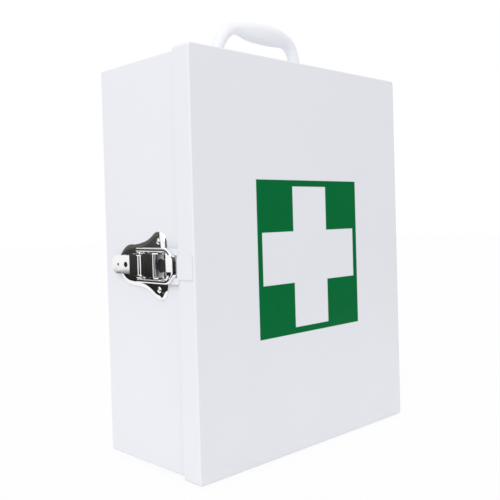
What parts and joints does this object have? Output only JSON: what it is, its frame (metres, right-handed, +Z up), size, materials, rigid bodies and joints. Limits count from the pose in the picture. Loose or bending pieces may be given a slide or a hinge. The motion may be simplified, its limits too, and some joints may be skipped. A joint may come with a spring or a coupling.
{
  "type": "metal storage cabinet",
  "caption": "White sheet-steel first-aid cabinet with a hinged tray door, side draw latch, carrying handle, shelves and a green cross sign",
  "frame": {"origin": "middle of the footprint, on the surface that the feet stand on", "axes": "+Z up; the door faces -Y, the latch is on the -X side and the door's hinge on the +X side"},
  "size_m": [0.314, 0.1392, 0.4392],
  "materials": {
    "white_paint": "white powder coat with a fine orange-peel texture",
    "latch_chrome": "bright chrome plate on pressed steel",
    "zinc_steel": "zinc plated steel",
    "handle_plastic": "white moulded plastic with a satin surface",
    "green_vinyl": "die-cut green vinyl film",
    "foot_rubber": "soft black rubber"
  },
  "bodies": {
    "cabinet": {"body_wrap": "white_paint", "front_frame": "white_paint", "back_panel": "white_paint", "shelf_lower": "white_paint", "shelf_upper": "white_paint", "foot_front_left": "foot_rubber", "foot_front_right": "foot_rubber", "foot_rear_left": "foot_rubber", "foot_rear_right": "foot_rubber", "handle": "handle_plastic", "handle_backing_plate": "zinc_steel", "handle_washers": "zinc_steel", "handle_screws": "zinc_steel", "hinge_body_leaf": "white_paint", "hinge_pin": "zinc_steel", "hinge_body_rivets": "white_paint", "latch_base": "latch_chrome", "latch_base_rivets": "latch_chrome", "latch_lever_pin": "latch_chrome"},
    "door": {"door_panel": "white_paint", "emblem_label": "green_vinyl", "hinge_door_leaf": "white_paint", "hinge_door_rivets": "white_paint", "latch_catch": "white_paint"},
    "lever": {"latch_lever": "latch_chrome", "latch_loop_pin": "latch_chrome"},
    "loop": {"latch_loop": "latch_chrome"}
  },
  "joints": [
    {"name": "door_swing", "type": "hinge", "parent": "cabinet", "child": "door", "pos_m": [0.1521, -0.0439, 0.1936], "axis": [0, 0, 1], "range_deg": [0, 170]},
    {"name": "lever_swing", "type": "hinge", "parent": "cabinet", "child": "lever", "pos_m": [-0.1555, -0.0174, 0.1921], "axis": [0, 0, 1], "range_deg": [0, 120]},
    {"name": "loop_swing", "type": "hinge", "parent": "lever", "child": "loop", "pos_m": [-0.1555, 0.004, 0.1921], "axis": [0, 0, 1], "range_deg": [-120, 0]}
  ],
  "couplings": [
    {"joint": "loop_swing", "follows": "lever_swing", "ratio": -1}
  ]
}
